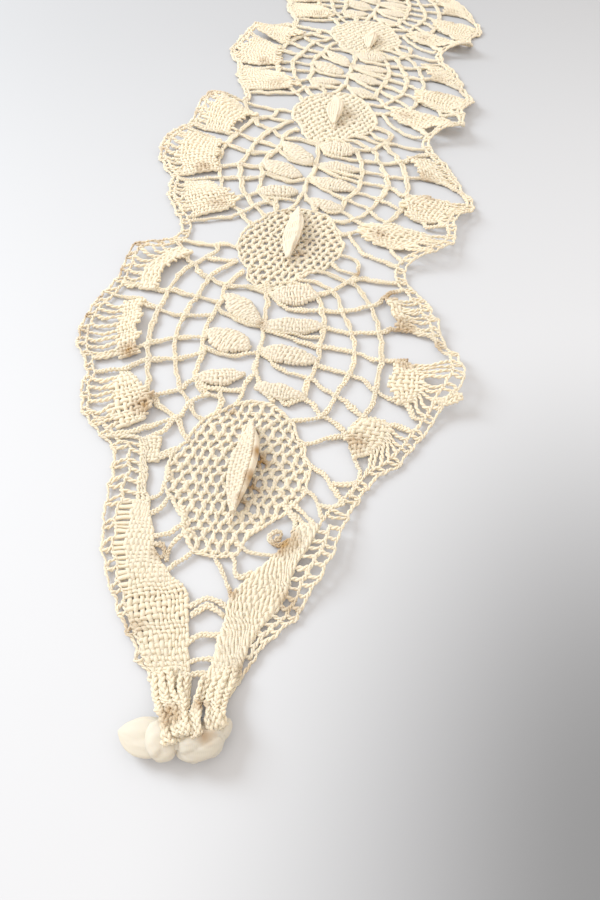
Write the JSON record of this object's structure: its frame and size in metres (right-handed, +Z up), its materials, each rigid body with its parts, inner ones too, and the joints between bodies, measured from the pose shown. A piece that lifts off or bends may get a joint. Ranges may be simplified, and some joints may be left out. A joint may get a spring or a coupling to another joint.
{
  "type": "bobbin lace piece",
  "caption": "Openwork bobbin lace strip with wheel motifs, diamond nets and fan edges, one end gathered into a knot; decorative textile trim.",
  "frame": {"origin": "centre of the bounding box at the plane that the lace lies on", "axes": "+Y along the strip, from its knotted end to its far end; +Z up, through the thickness; +X to the right seen from above with the knot nearest"},
  "size_m": [0.1138, 0.3896, 0.0066],
  "materials": {
    "lace_thread": "matt cream linen thread",
    "leaf_thread": "matt pale cream linen thread"
  },
  "bodies": {
    "root": {"lace_strip": "lace_thread", "relief_leaf_1": "leaf_thread", "relief_leaf_2": "leaf_thread", "relief_leaf_3": "leaf_thread", "relief_leaf_4": "leaf_thread", "end_knot": "lace_thread"}
  },
  "joints": []
}
